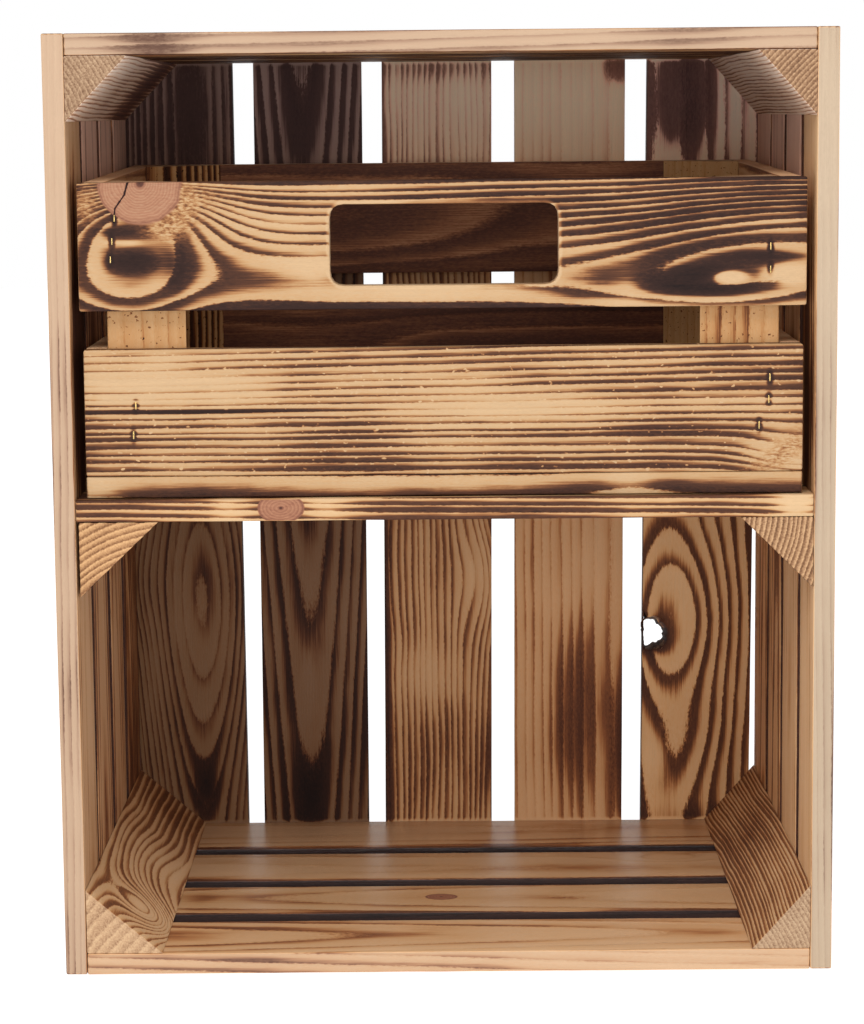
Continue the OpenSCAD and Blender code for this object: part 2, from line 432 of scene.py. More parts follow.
@dataclass
class Grain:
    """How one piece was cut from its log, and how far it was burnt.

    pith is the middle of the growth rings in v and w. Swirls are bulges in the rings, and they
    draw loops or bows. Pinches draw lines together, as beside a knot. A burn of 0 leaves light
    and dark bands alike, and one of 0.5 leaves thin light lines. faces are the burns of the
    faces at low and high w, and edges those at low and high v. char is how dark a dark band gets.
    """
    seed: int = 1
    pith: tuple = (0.0, -40.0)
    ring: float = 4.2
    taper: float = 0.0
    wander: float = 3.0
    uneven: float = 1.0
    ragged: float = 0.2
    contrast: float = 1.0
    char: float = 0.52
    faces: tuple = (0.0, 0.0)
    edges: tuple = (0.1, 0.1)
    end: float = 0.3
    end_lines: float = 0.35
    patchy: float = 0.6
    rim: float = 0.15
    spared: float = 0.0
    flecks: float = 0.0
    pores: float = 0.0
    fuzz: tuple = ()
    grey_and_sheen: tuple = ()
    swirls: tuple = ()
    pinches: tuple = ()
    patches: tuple = ()
    knot: Knot = None
    crack: tuple = ()
    tint: tuple = (1.0, 1.0, 1.0)
    end_tint: tuple = (1.0, 1.0, 1.0)
    grey_and_sheen_on: str = "low face"
    grey_and_sheen_tint: tuple = (1.0, 1.0, 1.0)
    gloss: float = 0.50
    shine: float = 0.14


# The pieces out in the light are painted darker than those inside: a painted shade that offsets the
# stronger light on the front
FRONT_SHADE_TINT = (0.75, 0.72, 0.70)


def drawer_front_grains():
    upper = Grain(
        seed=241, pith=(-18, -28), ring=3.6, taper=-0.010, wander=2.0, uneven=0.3,
        faces=(0.08, 0.3), edges=(0.35, 0.2), patchy=0.5, tint=FRONT_SHADE_TINT,
        swirls=(Spot(-163, -8, 35, 55, -2.55), Spot(150, -19, 60, 50, -1.3)),
        pinches=(Spot(-157, 33, 42, 31, 2.0), Spot(230, 33, 100, 45, 0.7)),
        patches=(
            Spot(-100, 14, 46, 20, -0.12), Spot(-168, 8, 13, 2.5, 0.6), Spot(-187, -14, 8, 16, -0.3),
            Spot(-162, -8, 13, 6, 0.8, crisp=True), Spot(-164, 2, 11, 1.8, -0.6),
            Spot(-139, -9, 7, 15, 0.6), Spot(120, 14, 90, 26, 0.22),
            Spot(138, -19.5, 30, 8.5, 1.0, crisp=True), Spot(150, -18.5, 8, 3.2, -2.6),
            Spot(184, -18, 13, 4.5, -1.2), Spot(165, -8, 24, 3.5, 0.7), Spot(97, -22, 9, 11, -0.35),
            Spot(74, -24, 14, 9, 0.3), Spot(120, -31, 70, 3, -0.4), Spot(-5, -24, 75, 4.5, -0.5),
            Spot(-68, -14, 18, 9, -0.5), Spot(-62, -35, 46, 5, 0.7), Spot(35, -32, 50, 4, 0.35),
        ),
        knot=Knot(-157, 33, 22.5, warmth=0.27),
        fuzz=(
            Spot(-136, 20, 10, 14, 1.0), Spot(-146, 9, 9, 5, 0.8), Spot(-185, 22, 7, 10, 0.8),
            Spot(-124, 26, 18, 6, 0.4),
        ),
        crack=((-163, 34), (-165, 27), (-170, 20), (-170.5, 13)),
    )
    lower = Grain(
        seed=231, pith=(-70, -30), ring=3.5, wander=1.5, faces=(-0.05, 0.3), edges=(0.3, -0.1),
        flecks=0.4, contrast=0.9, char=0.46, tint=FRONT_SHADE_TINT,
        swirls=(Spot(200, 45, 260, 40, -1.6), Spot(190, -26, 30, 14, 2.0)),
        patches=(
            Spot(-175, 16, 70, 22, -0.35), Spot(45, 2, 120, 6, -0.35), Spot(0, -26, 230, 10, 0.30),
            Spot(160, 20, 70, 14, 0.25), Spot(-128, 0.5, 62, 1.4, 1.2), Spot(184, -24, 20, 11, -0.8),
            Spot(120, -12, 90, 8, 0.25),
        ),
        fuzz=(Spot(178, -24, 20, 6, 0.9, turn=35),),
    )
    return {"lower": lower, "upper": upper}


def back_slat_grains():
    # Shared by all back slats. The grey spot near each slat's top (u 220) is a painted grey sheen, light
    # painted into the wood's colour
    lit = dict(
        edges=(0.5, 0.5), patchy=0.45, spared=236, grey_and_sheen=(Spot(220, 0, 50, 400, 0.9),),
    )
    # Slats one and two are tinted far darker than the others: partly smoke-dark wood, partly painted
    # shade
    one = Grain(
        seed=141, pith=(8, -40), ring=2.6, wander=2.0, uneven=0.6, faces=(0.06, 0.0),
        tint=(0.32, 0.25, 0.22), contrast=0.75, char=0.38, grey_and_sheen_tint=(0.40, 0.34, 0.36),
        swirls=(Spot(-95, 8, 105, 60, -5.2), Spot(-80, -32, 35, 14, -1.5)),
        patches=(Spot(-95, 8, 38, 12, -0.3), Spot(-216, 8, 14, 8, 0.8), Spot(215, 0, 50, 50, 0.35)),
        **lit,
    )
    two = Grain(
        seed=145, pith=(-3, -30), ring=4.8, taper=-0.045, wander=1.5, uneven=0.4,
        faces=(0.05, 0.0), tint=(0.31, 0.25, 0.24), contrast=0.85, char=0.45,
        grey_and_sheen_tint=(0.55, 0.49, 0.54),
        patches=(
            Spot(-222, -4, 36, 12, 0.9), Spot(-150, -4, 34, 6, -0.4), Spot(215, 0, 50, 50, 0.25),
        ),
        **lit,
    )
    three = Grain(
        seed=149, pith=(-90, -20), ring=3.9, wander=7.0, uneven=1.5, faces=(0.08, 0.0),
        tint=(0.88, 0.78, 0.72), contrast=0.8, char=0.36, grey_and_sheen_tint=(1.6, 1.35, 1.25),
        swirls=(Spot(-82, 26, 34, 17, -2.6),),
        patches=(
            Spot(-145, -8, 18, 24, -0.3), Spot(-205, 0, 36, 40, 0.2), Spot(0, -35, 600, 5, 0.9),
            Spot(-200, 33, 36, 7, 0.5), Spot(-82, 26, 24, 10, -0.35), Spot(215, 0, 36, 60, -0.2),
            Spot(234, 5, 7, 40, 0.5),
        ),
        **lit,
    )
    four = Grain(
        seed=153, pith=(45, -45), ring=4.8, wander=2.5, uneven=0.9, faces=(-0.18, 0.0),
        tint=(0.96, 0.82, 0.74), contrast=0.85, char=0.30, grey_and_sheen_tint=(1.7, 1.34, 1.19),
        patches=(
            Spot(-168, 5, 64, 17, 0.75, crisp=True), Spot(-190, 34, 62, 9, 1.6),
            Spot(215, 0, 36, 60, -0.2), Spot(236, 30, 12, 8, 1.4, crisp=True),
        ),
        **lit,
    )
    five = Grain(
        seed=157, pith=(-20, -30), ring=8.5, wander=4.0, uneven=0.4, faces=(-0.05, 0.0), contrast=1.1,
        tint=(1.18, 1.08, 0.98), char=0.48, grey_and_sheen_tint=(1.7, 1.5, 1.55),
        swirls=(Spot(-110, -12, 54, 36, -2.7), Spot(-188, -4, 34, 20, -0.8, turn=25)),
        patches=(
            Spot(-121, -28, 10, 9, 1.4), Spot(216, -10, 34, 22, 1.15, crisp=True),
            Spot(205, 26, 50, 10, -0.3), Spot(-105, -12, 28, 9, -0.4), Spot(-238, -10, 9, 30, 0.4),
            Spot(-196, -26, 16, 9, -0.6),
        ),
        **lit,
    )
    return [one, two, three, four, five]


def pale_edge(tint, amount=1.0):
    """Settings for a front edge that is paler and greyer than the rest of its board."""
    everywhere = Spot(0, 0, 2000, 2000, amount)
    return dict(grey_and_sheen=(everywhere,), grey_and_sheen_on="low edge", grey_and_sheen_tint=tint)


def floor_grains():
    plain = Grain(
        ring=5, taper=0.01, uneven=0.5, faces=(0.0, -0.20), edges=(0.9, 0.9), patchy=0.5,
        contrast=0.8, char=0.34, shine=0.25,
    )
    even = replace(plain, wander=2.0, uneven=0.2)
    dark_front = Spot(0, -31, 400, 5, 0.9)
    return [
        replace(
            even, seed=61, pith=(2, -42.8), ring=4.6, taper=0.03, edges=(-0.15, 0.9), gloss=0.40,
            tint=(1.14, 1.04, 1.0), **pale_edge((0.50, 0.46, 0.40), 0.55),
            patches=(
                Spot(-50, 2, 44, 7, 0.25), Spot(-130, 10, 50, 4, 0.3), Spot(0, -26, 220, 9, -0.3),
                Spot(0, 17, 200, 4, 0.2), Spot(80, 2, 50, 12, -0.3),
            ),
        ),
        replace(
            even, seed=66, pith=(3, -45.1), ring=4.8, taper=-0.03, gloss=0.34,
            tint=(0.96, 0.88, 0.84), knot=Knot(-4, 4, 6.5, 1.5, 1.2, 0.40),
            fuzz=(Spot(-4, 4, 13, 9, 0.3),),
            patches=(dark_front, Spot(76, 1, 16, 4, 0.5), Spot(-142, 0, 12, 22, 0.3)),
        ),
        replace(
            plain, seed=71, pith=(-6, -55), gloss=0.30, tint=(0.94, 0.86, 0.84),
            swirls=(Spot(132, 14, 26, 9, 1.6),), patches=(dark_front,),
        ),
        replace(
            plain, seed=76, pith=(10, -55), gloss=0.20, tint=(1.02, 0.92, 0.90),
            patches=(replace(dark_front, v=-34),),
        ),
    ]


def top_grains():
    front = Grain(
        seed=81, pith=(-3, 45), ring=4.6, taper=0.02, wander=2.0, uneven=0.6, faces=(0.25, 0.1),
        edges=(-0.42, 0.9), patchy=0.35, char=0.30,
        patches=(
            Spot(-148, -33, 24, 12, 1.0), Spot(-50, -33, 46, 12, 0.35), Spot(130, -33, 28, 10, 0.35),
        ),
        **pale_edge((0.62, 0.57, 0.48)),
    )
    rear = Grain(pith=(6, 45), faces=(0.25, 0.1), edges=(0.9, 0.9), tint=(0.9, 0.84, 0.8))
    return [front] + [replace(rear, seed=86 + 5 * i, taper=0.01 * i) for i in range(3)]


def side_grains():
    """Vertical boards from front to rear. The inner face is at high w on the left."""
    # Painted light: the side boards are painted paler high up, and greyer and lighter on their inner
    # face there, a painted grey sheen
    painted_light_high_up = Spot(200, 0, 70, 400, -0.3)
    # Darker beside the drawer: partly flamed wood, partly painted shade in the gap between drawer and
    # wall
    char_and_shade_beside_drawer = Spot(82, 6, 82, 32, 0.9, crisp=True)
    painted_sheen_high_up = (Spot(200, 0, 70, 400, 0.8),)
    found = {}
    for side, way, tones, tint, front, marks, inside in (
        ("left", 1, (-0.2, 0.15, 0.0, 0.3), (0.90, 0.82, 0.82),
         dict(edges=(-0.25, 0.9), **pale_edge((0.63, 0.58, 0.49))),
         (Spot(-20, -37, 46, 5, 0.4), Spot(-180, -37, 9, 4, 0.8)),
         dict(grey_and_sheen_on="high face", grey_and_sheen_tint=(1.25, 1.1, 1.1))),
        ("right", -1, (-0.3, -0.15, 0.1, 0.05), (1.15, 1.06, 1.02),
         dict(edges=(-0.4, 0.9), **pale_edge((0.60, 0.61, 0.54))),
         (Spot(175, -37, 40, 5, 0.45), Spot(20, -37, 60, 5, 0.2)),
         dict(grey_and_sheen_on="low face", grey_and_sheen_tint=(1.28, 1.12, 1.15))),
    ):
        plain = Grain(
            taper=0.012, wander=2.5, edges=(0.9, 0.9), contrast=0.75, char=0.36, tint=tint,
            patches=(painted_light_high_up,), grey_and_sheen=painted_sheen_high_up, **inside,
        )
        grains = [
            replace(
                plain, seed=31 + 10 * (1 - way) + i * 3, pith=(8 - 9 * i, 60 * way),
                ring=3.0 + 0.4 * (i % 3), faces=(0.05, tone)[::way],
            )
            for i, tone in enumerate(tones)
        ]
        grains[0] = replace(grains[0], patches=(painted_light_high_up, char_and_shade_beside_drawer) + marks, **front)
        found[side] = grains
    return found


def shelf_grains():
    front = Grain(
        seed=181, pith=(-14, -42), ring=3.4, taper=0.01, wander=2.0, uneven=0.8, faces=(0.1, 0.1),
        edges=(0.10, 0.9), tint=(0.86, 0.83, 0.80), char=0.44,
        knot=Knot(-86, 1, 8.5, 1.5, 1.3, 0.36, edge=True),
        patches=(
            Spot(-112, -33, 12, 14, -0.5), Spot(-62, -33, 14, 14, -0.5), Spot(186, -33, 12, 14, -0.8),
        ),
    )
    rear = Grain(pith=(6, -42), faces=(0.15, 0.15), edges=(0.7, 0.7), tint=(0.9, 0.84, 0.8))
    return [front] + [replace(rear, seed=186 + 5 * i) for i in range(3)]


def rail_grains():
    plain = Grain(taper=0.01, edges=(0.3, 0.3), rim=0.0, patchy=0.5)
    return {
        "left": replace(
            plain, seed=210, pith=(32, -75), ring=3.4, faces=(0.25, 0.1), end=0.10, end_lines=0.52,
            end_tint=(1.02, 0.90, 0.74),
        ),
        "right": replace(
            plain, seed=212, pith=(-90, 30), ring=2.7, faces=(0.3, 0.1), end=0.20, end_lines=0.50,
            end_tint=(1.0, 0.95, 0.88),
        ),
    }


def post_grains():
    plain = Grain(
        ring=3.0, taper=0.01, wander=4.0, faces=(-0.15, -0.15), edges=(0.4, 0.4), rim=0.0,
        patchy=0.45, char=0.34, tint=(1.08, 1.02, 1.0),
    )
    grey = (0.90, 0.95, 1.02)
    # Painted light: the top posts face down into shade, so they are painted far lighter and bluer,
    # standing in for bounced light and a cool sheen
    painted_bounce_and_sheen = (1.5, 1.75, 2.6)
    return {
        ("bottom", "left"): replace(
            plain, seed=101, pith=(60, -60), end=0.14, end_lines=0.25, ring=5.0, wander=9.0,
            swirls=(Spot(-98, 8, 26, 15, 6.5), Spot(-10, 4, 50, 16, -2.0)),
            patches=(Spot(-50, 14, 24, 10, 0.35), Spot(-104, 6, 16, 8, -0.3), Spot(110, 0, 60, 60, 0.4)),
        ),
        ("bottom", "right"): replace(
            plain, seed=104, pith=(-64, -50), end=0.24, end_lines=0.22, end_tint=grey, ring=2.4,
            swirls=(Spot(-60, -8, 120, 60, -3.0),), faces=(0.0, 0.05), contrast=1.2,
            patches=(Spot(20, -5, 70, 40, 0.22), Spot(-120, -20, 40, 16, -0.2)),
        ),
        # The top left post darkens towards the rear: painted shade
        ("top", "left"): replace(
            plain, seed=107, pith=(-75, -30), end=0.36, end_lines=0.20, end_tint=grey, ring=2.4,
            patches=(Spot(90, 0, 60, 60, 0.9),), tint=painted_bounce_and_sheen,
        ),
        ("top", "right"): replace(
            plain, seed=110, pith=(75, -60), end=0.34, end_lines=0.35, ring=2.4, tint=painted_bounce_and_sheen,
        ),
    }


def drawer_grains():
    """The drawer's unseen and half-seen boards: axes and grain by node."""
    # The high edges, the tops of the drawer's back and sides, are painted lighter than their burn: a
    # painted highlight on the drawer's rim
    inside = Grain(
        ring=4.6, faces=(0.75, 0.2), edges=(0.35, -0.5), contrast=0.25, char=0.28, patchy=0.2,
        tint=(0.95, 0.88, 1.0),
    )
    found = {}
    for i, level in enumerate(("lower", "upper")):
        found[f"drawer_back_{level}"] = ("xzy", replace(
            inside, seed=251 + i, pith=(4 * i, 40), swirls=(Spot(-90 + 160 * i, 0, 80, 30, 1.5),),
        ))
        for side, way in (("left", 1), ("right", -1)):
            found[f"drawer_{side}_{level}"] = ("yzx", replace(
                inside, seed=261 + 2 * i + way, pith=(10, 40 * way), faces=(0.3, 0.3), ring=4.0,
                edges=(0.0, -0.6), tint=(1.15, 1.05, 1.05),
            ))
    slat = Grain(
        pith=(4, -42), ring=4.4, wander=3.5, faces=(0.15, 0.15), edges=(0.0, 0.3), tint=FRONT_SHADE_TINT,
    )
    front_slat = replace(
        slat, pith=(-34, -60), ring=13, wander=3.0, uneven=0.2, edges=(-0.06, 0.3), patchy=0.4,
        swirls=(Spot(-10, -32, 90, 30, 0.15), Spot(98, -32, 30, 30, -0.30)),
        patches=(Spot(98, -32, 16, 14, -0.5), Spot(-185, -32, 16, 14, -0.5)),
    )
    for i in range(4):
        grain = slat if i else front_slat
        found[f"drawer_bottom_slat_{i + 1}"] = ("xyz", replace(grain, seed=291 + i))
    return found


def drawer_post_grains():
    """Rough-sawn posts, open-pored at the front and striped at the rear left."""
    rough = Grain(
        ring=3.2, taper=0.01, faces=(-0.15, -0.15), edges=(-0.2, -0.2), rim=0.0, patchy=0.3,
        contrast=0.5, end=0.1, tint=(0.86, 0.72, 0.58), pores=0.5,
    )
    return {
        ("front", "left"): replace(rough, seed=280, pith=(-50, 90)),
        ("front", "right"): replace(rough, seed=282, pith=(50, 90), faces=(-0.05, -0.05)),
        ("back", "left"): replace(
            rough, seed=284, pith=(-60, 20), faces=(0.1, 0.1), contrast=1.0),
        ("back", "right"): replace(rough, seed=286, pith=(60, 20), faces=(-0.1, -0.1)),
    }


# ---------------- flamed pine

# How much the brushed grain shows as relief
BUMP_STRENGTH = 0.55
BUMP_HEIGHT_M = 0.0005

# Colour of the wood by how far the flame has taken it, from raw pine to char
FLAME = (
    (0.00, (216, 183, 142)),
    (0.16, (203, 163, 117)),
    (0.32, (180, 130, 85)),
    (0.47, (141, 92, 58)),
    (0.62, (94, 59, 41)),
    (0.78, (57, 36, 30)),
    (1.00, (30, 19, 18)),
)

# Colour of greyed wood, by the same measure: pale grey front edges, and a painted grey sheen high up
# inside the crate
GREY_AND_SHEEN_COLOURS = (
    (0.00, (228, 200, 180)),
    (0.40, (196, 164, 146)),
    (0.62, (122, 92, 82)),
    (1.00, (48, 36, 38)),
)

# Colour of sawn ends, by the same measure
END_GRAIN = (
    (0.00, (208, 174, 136)),
    (0.30, (180, 144, 110)),
    (0.60, (128, 94, 68)),
    (1.00, (66, 44, 34)),
)


def growth(u, v, w, grain):
    """The growth-ring count at a point."""
    _, drift = cloud((u / 150, v / 50, w / 50), grain.seed)
    drift_v, drift_w, _ = parts(drift)
    v1 = (drift_v - 0.5) * (2 * grain.wander) + v
    w1 = (drift_w - 0.5) * grain.wander + w
    for pinch in grain.pinches:
        v1 = v1 + (v - pinch.v) * pinch.weight(u, v)
    across = v1 - grain.pith[0]
    deep = w1 - grain.pith[1]
    radius = (across * across + deep * deep).root()
    count = (radius + u * grain.taper) / grain.ring
    for swirl in grain.swirls:
        count = count + swirl.weight(u, v)
    uneven, _ = cloud((count / 2.7, u / 700, 0.0), grain.seed + 5, 1.0)
    return uneven * grain.uneven + count


def knotted(u, v, w, low_edge, grain, fleck):
    """How much of its knot is at a point, from 0 to 1, and the knot's own heat there."""
    knot = grain.knot
    du = (u - knot.u) / knot.stretch
    dv = (w if knot.edge else v) - knot.v
    distance = (du * du + dv * dv).root()
    bumpy, _ = cloud((u / 11, v / 11, 0.0), grain.seed + 3)
    distance = bumpy * (knot.radius * 0.22) + distance
    here = distance.step(knot.radius, knot.radius * 0.93)
    if knot.edge:
        here = here * low_edge
    rings = (distance / knot.rings).fraction().step(0.1, 0.9) * 0.07
    collar = distance.step(knot.radius * 0.80, knot.radius) * 0.14
    heart = distance.step(knot.radius * 0.14, 0.0) * 0.35
    return here, (rings + collar + heart + fleck * 0.25 + knot.warmth) * here


def crack_line(u, v, points):
    """Distance from the nearest of a crack's straight lengths."""
    nearest = None
    for (u0, v0), (u1, v1) in zip(points, points[1:]):
        long_u, long_v = u1 - u0, v1 - v0
        square = long_u ** 2 + long_v ** 2
        along = ((u - u0) * long_u + (v - v0) * long_v) / square
        along = along.at_least(0.0).at_most(1.0)
        du = u - (along * long_u + u0)
        dv = v - (along * long_v + v0)
        distance = (du * du + dv * dv).root()
        nearest = distance if nearest is None else nearest.at_most(distance)
    return nearest


@dataclass
class Surface:
    """What a shader knows about the wood at a point."""
    heat: object
    band: object
    end_face: object
    knot: object
    crack: object
    fibre: object
    fleck: object
    grey_and_sheen: object


# How burnt the wood is where it starts to char and where it is all char
CHAR_FROM, CHAR_FULL = 0.28, 0.85


def charred(u, v, w, facing, half, grain):
    """The state of the wood at a point. facing says how squarely it faces along +u, +v and +w."""
    end_face = facing[0].size().step(0.55, 0.85)
    low_edge = facing[1].step(-0.80, -0.95)
    high_edge = facing[1].step(0.80, 0.95)
    body = (low_edge + high_edge).less_from(1.0)
    high_face = facing[2].step(-0.1, 0.1) * body
    low_face = facing[2].step(0.1, -0.1) * body

    fibre, _ = cloud((u / 30, v / 0.8, w / 0.8), grain.seed + 2, 3.0, 0.62)
    fleck, _ = cloud((u / 2.6, v / 0.9, w / 0.9), grain.seed + 4, 2.0, 0.6)
    flame, _ = cloud((u / 70, v / 26, w / 26), grain.seed + 6, 3.0, 0.55)

    count = growth(u, v, w, grain) + (fibre * 0.3 + fleck) * grain.ragged
    phase = count.fraction()
    band = (phase * 4.5).at_most(phase.less_from(1.0) * 1.28)
    tone, _ = cloud((count / 1.3, u / 300, 0.0), grain.seed + 9, 1.0)

    burn = low_face * grain.faces[0] + high_face * grain.faces[1]
    burn = burn + low_edge * grain.edges[0] + high_edge * grain.edges[1]
    burn = burn + flame * (2 * grain.patchy) + tone * 0.9 + fibre * 0.7
    local = acting(grain.patches, u, v)
    if local is not None:
        burn = burn + local
    if grain.rim:
        from_end = u.size().step(half[0] - 14, half[0] + 2)
        from_edge = v.size().step(half[1] - 6, half[1] + 1)
        burn = burn + from_end.at_least(from_edge) * grain.rim
    if grain.spared:
        burn = burn - u.size().step(grain.spared, grain.spared + 4) * 0.8
    if grain.flecks:
        dots, _ = cloud((u / 3.4, v / 2.2, 0.0), grain.seed + 12, 1.0)
        burn = burn - dots.step(0.13, 0.24) * grain.flecks

    dark = (band * grain.contrast + burn).step(CHAR_FROM, CHAR_FULL)
    heat = dark * grain.char + burn * 0.25 + band * 0.10 + fleck * 0.3 + 0.08
    fuzz = acting(grain.fuzz, u, v)
    if fuzz is not None:
        heat = heat * fuzz.less_from(1.0) + (fleck * 1.6 + 0.27) * fuzz
    if grain.pores:
        holes, _ = cloud((u / 1.6, v / 1.6, w / 1.6), grain.seed + 14, 1.0)
        heat = heat + holes.step(0.15, 0.22) * grain.pores
    knot = None
    if grain.knot:
        knot, knot_heat = knotted(u, v, w, low_edge, grain, fleck)
        heat = heat * knot.less_from(1.0) + knot_heat
    crack = None
    if grain.crack:
        jag, _ = cloud((u / 3, v / 3, 0.0), grain.seed + 8, 2.0)
        crack = (jag * 1.2 + crack_line(u, v, grain.crack)).step(0.65, 0.1)
        heat = heat + crack * 0.6
    end_heat = band * grain.end_lines + fleck * 0.9 + flame * 0.3 + grain.end
    if local is not None:
        end_heat = end_heat + local * 0.5
    heat = heat * end_face.less_from(1.0) + end_heat * end_face
    # Grey over some areas: greyed front edges, and high up inside the crate a painted grey sheen, light
    # painted into the colour
    grey_and_sheen = acting(grain.grey_and_sheen, u, v)
    if grey_and_sheen is not None:
        sides = {"low face": low_face, "high face": high_face, "low edge": low_edge}
        grey_and_sheen = grey_and_sheen * sides[grain.grey_and_sheen_on]
    return Surface(heat, band, end_face, knot, crack, fibre, fleck, grey_and_sheen)


def flamed_pine(name, axes, middle, half, grain, hole=None):
    """Pine with growth rings through the solid, brushed and burnt darker where it was flamed."""
    material, tree, shader = new_material(name)
    place = tree.nodes.new("ShaderNodeTexCoord")
    where = parts(Value(tree, place.outputs["Object"]))
    normal = parts(Value(tree, place.outputs["Normal"]))
    u, v, w = [(where[AXES[a]] - middle[AXES[a]] * MM) / MM for a in axes]
    facing = [normal[AXES[a]] for a in axes]
    wood = charred(u, v, w, facing, half, grain)
    heat = wood.heat
    if hole:
        heat = heat - near_slot(u, v, hole).step(2.6, 0.4) * 0.35
    colour = mixed(
        wood.end_face, ramp(heat, FLAME, grain.tint), ramp(heat, END_GRAIN, grain.end_tint),
    )
    if wood.grey_and_sheen is not None:
        colour = mixed(wood.grey_and_sheen, colour, ramp(heat, GREY_AND_SHEEN_COLOURS, grain.grey_and_sheen_tint))

    shade = tree.nodes.new("ShaderNodeHueSaturation")
    feed(shade.inputs["Color"], colour)
    feed(shade.inputs["Value"], wood.fibre * 0.25 + wood.fleck * 0.2 + 1.0)
    if wood.knot is not None:
        feed(shade.inputs["Hue"], wood.knot * -0.012 + 0.5)
        feed(shade.inputs["Saturation"], wood.knot * -0.10 + 1.0)
    feed(shader.inputs["Base Color"], Value(tree, shade.outputs["Color"]))

    feed(shader.inputs["Roughness"], heat.at_least(0.0).at_most(1.0) * 0.16 + grain.gloss)
    shader.inputs["Specular IOR Level"].default_value = grain.shine
    ridges = wood.end_face.less_from(1.0) * wood.band * 0.45
    relief = ridges + wood.fibre * 0.9 + wood.fleck * 0.7
    if wood.crack is not None:
        relief = relief - wood.crack * 2.0
    bump = tree.nodes.new("ShaderNodeBump")
    bump.inputs["Strength"].default_value = BUMP_STRENGTH
    bump.inputs["Distance"].default_value = BUMP_HEIGHT_M
    feed(bump.inputs["Height"], relief)
    feed(shader.inputs["Normal"], Value(tree, bump.outputs["Normal"]))
    return material


def new_material(name):
    """A material, its node tree and its shader."""
    material = bpy.data.materials.new(name)
    material.use_nodes = True
    tree = material.node_tree
    return material, tree, tree.nodes["Principled BSDF"]


def near_slot(u, v, hole):
    """Distance from the rim of a rounded slot, outside it."""
    width, height, radius, (hole_u, hole_v) = hole
    out_u = ((u - hole_u).size() - (width / 2 - radius)).at_least(0.0)
    out_v = ((v - hole_v).size() - (height / 2 - radius)).at_least(0.0)
    return ((out_u * out_u + out_v * out_v).root() - radius).size()


def ramp(position, colours, tint=(1.0, 1.0, 1.0)):
    """A colour picked from a list of (position, display colour) by a value."""
    node = position.tree.nodes.new("ShaderNodeValToRGB")
    feed(node.inputs[0], position)
    stops = node.color_ramp.elements
    while len(stops) < len(colours):
        stops.new(0.5)
    for stop, (place, colour) in zip(stops, colours):
        stop.position = place
        stop.color = [min(c * t, 1.0) for c, t in zip(srgb(*colour), tint + (1.0,))]
    return Value(position.tree, node.outputs["Color"])


def mixed(amount, first, second):
    """Goes from the first colour to the second as amount goes from 0 to 1."""
    node = amount.tree.nodes.new("ShaderNodeMix")
    node.data_type = "RGBA"
    sockets = {s.identifier: s for s in list(node.inputs) + list(node.outputs)}
    feed(node.inputs["Factor"], amount)
    feed(sockets["A_Color"], first)
    feed(sockets["B_Color"], second)
    return Value(amount.tree, sockets["Result_Color"])


# ---------------- pieces of wood

# Radii of a board's corners, of a post's square corner and of its two thin ones
BOARD_CORNER, POST_CORNER, POST_TIP = 1.6, 1.4, 0.6

# Distances between points around a post and around a slot
POST_STEP, SLOT_STEP = 7.0, 4.0


def axes_box(node, axes):
    """Middle and half sizes of a CAD node, in x, y, z, and its half sizes along u, v, w."""
    low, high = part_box(node)
    middle = (low + high) / 2 / MM
    half = (high - low) / 2 / MM
    return middle, half, [half[AXES[a]] for a in axes]


def finish_piece(piece, node, body, material):
    piece.data.materials.append(material)
    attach(piece, body)
    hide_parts(node)


def placer(middle, half, axes):
    """A function from lengths along three axes to metres, the last one from the low side."""
    first, second, last = (AXES[a] for a in axes)

    def place(a, b, depth):
        point = Vector(middle)
        point[first] += a
        point[second] += b
        point[last] += depth - half[last]
        return point * MM
    return place


def board(node, axes, body, grain, lean=0.0, kinks=(), slotted=None, holes=(), flares=()):
    """A sawn board in the place of its CAD node. lean is how far its top stands to +v.

    kinks are more corners on its high side, by u and by how far they lie short of the full width.

    slotted is a rounded slot's width, height, corner radius and middle. holes are other holes,
    and flares how much wider they are at the face of low w.
    """
    middle, half, (hu, hv, hw) = axes_box(node, axes)
    wear = Wear()
    tilt = lean / 2
    reach = hv - abs(tilt)
    corners = [(-hu, -reach - tilt), (hu, -reach + tilt), (hu, reach + tilt)]
    corners += [(u, hv - short) for u, short in kinks]
    corners.append((-hu, reach - tilt))
    outline = rounded_polygon(corners, BOARD_CORNER, wear.step)
    holes = list(holes)
    if slotted:
        holes.append(rounded_slot(*slotted, SLOT_STEP))
    piece = prism(
        node + "_wood", outline, holes, 2 * hw, placer(middle, half, axes), wear, grain.seed,
        flares=flares,
    )
    material = flamed_pine(node + "_grain", axes, middle, (hu, hv), grain, slotted)
    finish_piece(piece, node, body, material)
    return piece


def post(node, axes, body, grain, corner):
    """A triangular post or rail. corner gives the signs of its square corner along v and w."""
    middle, half, (hu, hv, hw) = axes_box(node, axes)
    wear = Wear(edge=0.6, saw=0.2, warp=0.3)
    sv, sw = corner
    corners = [(sv * hv, sw * hw), (-sv * hv, sw * hw), (sv * hv, -sw * hw)]
    radii = [POST_CORNER, POST_TIP, POST_TIP]
    if cross_sign(corners) < 0:
        corners = corners[::-1]
        radii = radii[::-1]
    outline = rounded_polygon(corners, radii, POST_STEP)
    tips = [Vector(c) for c, r in zip(corners, radii) if r == POST_TIP]
    place = placer(middle, half, axes[1:] + axes[0])
    piece = prism(node + "_wood", outline, [], 2 * hu, place, wear, grain.seed, tips)
    material = flamed_pine(node + "_grain", axes, middle, (hu, hv), grain)
    finish_piece(piece, node, body, material)
    return piece


def cross_sign(corners):
    """Positive where a polygon's corners run counter-clockwise."""
    total = 0
    for i, (x, y) in enumerate(corners):
        px, py = corners[i - 1]
        total += px * y - x * py
    return total


# ---------------- the crate

